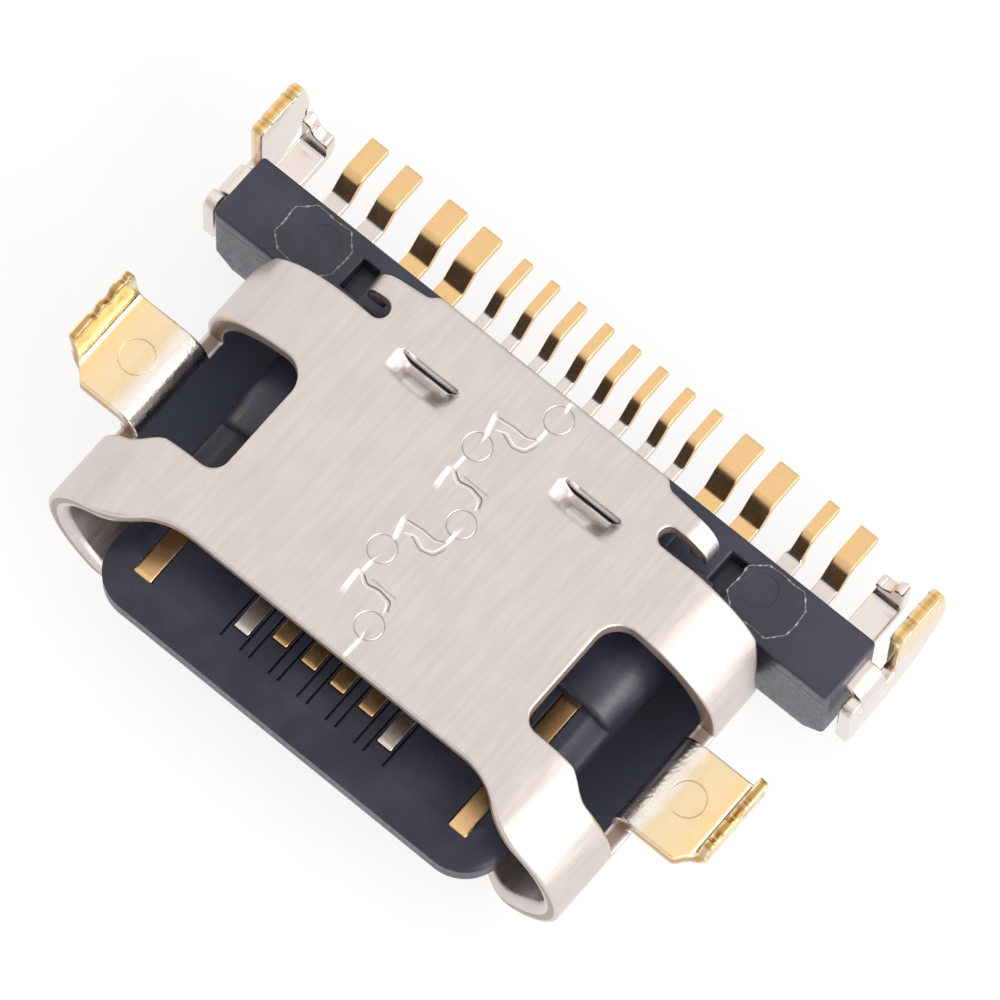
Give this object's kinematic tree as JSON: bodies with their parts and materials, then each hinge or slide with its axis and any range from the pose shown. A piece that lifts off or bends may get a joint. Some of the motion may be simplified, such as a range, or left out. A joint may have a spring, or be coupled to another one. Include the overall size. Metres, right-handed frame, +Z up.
{
  "type": "charging port connector",
  "caption": "Reversible charging port receptacle for mid-board mounting, with a rolled metal shell, folded board tabs, a flat contact tongue and a row of bent solder feet.",
  "frame": {"origin": "middle of the part's box in X and Y, on the plane of the shell's flat underside", "axes": "+X along the row of feet, -Y out of the mouth, +Z up from the shell's underside towards the side that lies against the board"},
  "size_m": [0.0114, 0.0072, 0.0032],
  "materials": {
    "shell_metal": "satin nickel over stamped steel, gold wash on the board tabs",
    "housing_plastic": "moulded black, fine texture",
    "plate_metal": "nickel with a gold wash on its tips",
    "carrier_plastic": "moulded black",
    "contact_plating": "gold plated"
  },
  "bodies": {
    "root": {"shell": "shell_metal", "housing": "housing_plastic", "mid_plate": "plate_metal", "upper_carrier": "carrier_plastic", "lower_carrier": "carrier_plastic", "upper_contact_1": "contact_plating", "upper_contact_2": "contact_plating", "upper_contact_3": "contact_plating", "upper_contact_4": "contact_plating", "upper_contact_5": "contact_plating", "upper_contact_6": "contact_plating", "upper_contact_7": "contact_plating", "upper_contact_8": "contact_plating", "lower_contact_1": "contact_plating", "lower_contact_2": "contact_plating", "lower_contact_3": "contact_plating", "lower_contact_4": "contact_plating", "lower_contact_5": "contact_plating", "lower_contact_6": "contact_plating", "lower_contact_7": "contact_plating", "lower_contact_8": "contact_plating"}
  },
  "joints": []
}
